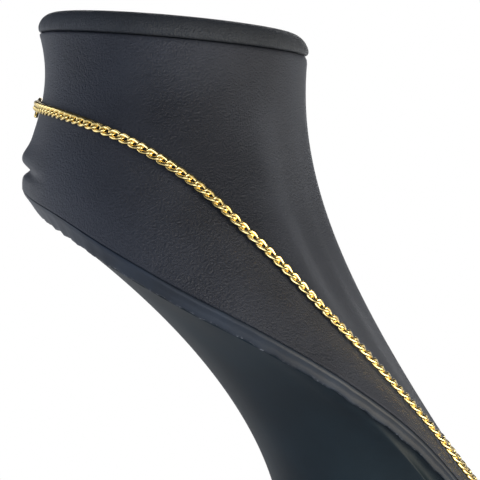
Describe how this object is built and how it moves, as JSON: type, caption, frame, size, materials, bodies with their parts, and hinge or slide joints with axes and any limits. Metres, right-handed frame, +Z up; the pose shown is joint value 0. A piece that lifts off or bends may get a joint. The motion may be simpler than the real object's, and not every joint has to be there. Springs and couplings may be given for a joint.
{
  "type": "curb chain necklace on a neck bust",
  "caption": "Fine gold curb chain necklace with a clasp at the nape, lying round a padded black leatherette neck bust on a flat foot.",
  "frame": {"origin": "centre of the whole object's box, at the flat bottom of the foot", "axes": "+Z up, -Y the way the bust faces, +X to the wearer's left"},
  "size_m": [0.2116, 0.209, 0.2755],
  "materials": {
    "gold": "polished yellow gold",
    "leatherette": "black pebbled leatherette with a soft sheen",
    "back_cloth": "smooth dark covering with little sheen"
  },
  "bodies": {
    "root": {"chain_right": "gold", "chain_left": "gold", "clasp": "gold", "neck_and_chest": "leatherette", "top_cap": "leatherette", "edge_band": "leatherette", "pedestal": "back_cloth"}
  },
  "joints": []
}
